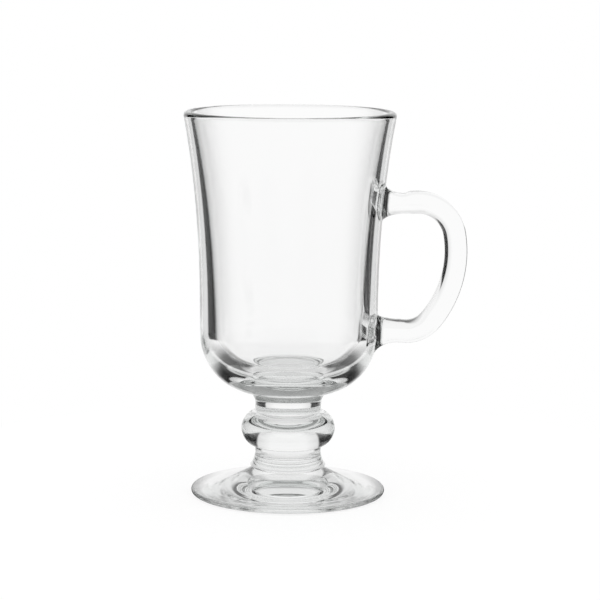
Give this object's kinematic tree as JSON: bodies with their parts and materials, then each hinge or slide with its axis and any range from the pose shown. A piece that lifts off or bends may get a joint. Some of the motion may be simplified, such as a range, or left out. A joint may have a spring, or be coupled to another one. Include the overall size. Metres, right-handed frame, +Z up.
{
  "type": "irish coffee glass mug",
  "caption": "Footed clear glass mug: a tall flared bowl on a ball stem and a round foot, with an ear handle for hot drinks.",
  "frame": {"origin": "centre of the flat ring under the foot, on the surface the mug stands on", "axes": "+Z up along the axis of the bowl and stem, +X towards the handle, +Y completes the frame"},
  "size_m": [0.1028, 0.0768, 0.14],
  "materials": {
    "pressed_glass": "clear fire polished soda lime glass, faintly green where it is thick"
  },
  "bodies": {
    "root": {"bowl": "pressed_glass", "stem": "pressed_glass", "foot": "pressed_glass", "handle": "pressed_glass"}
  },
  "joints": []
}
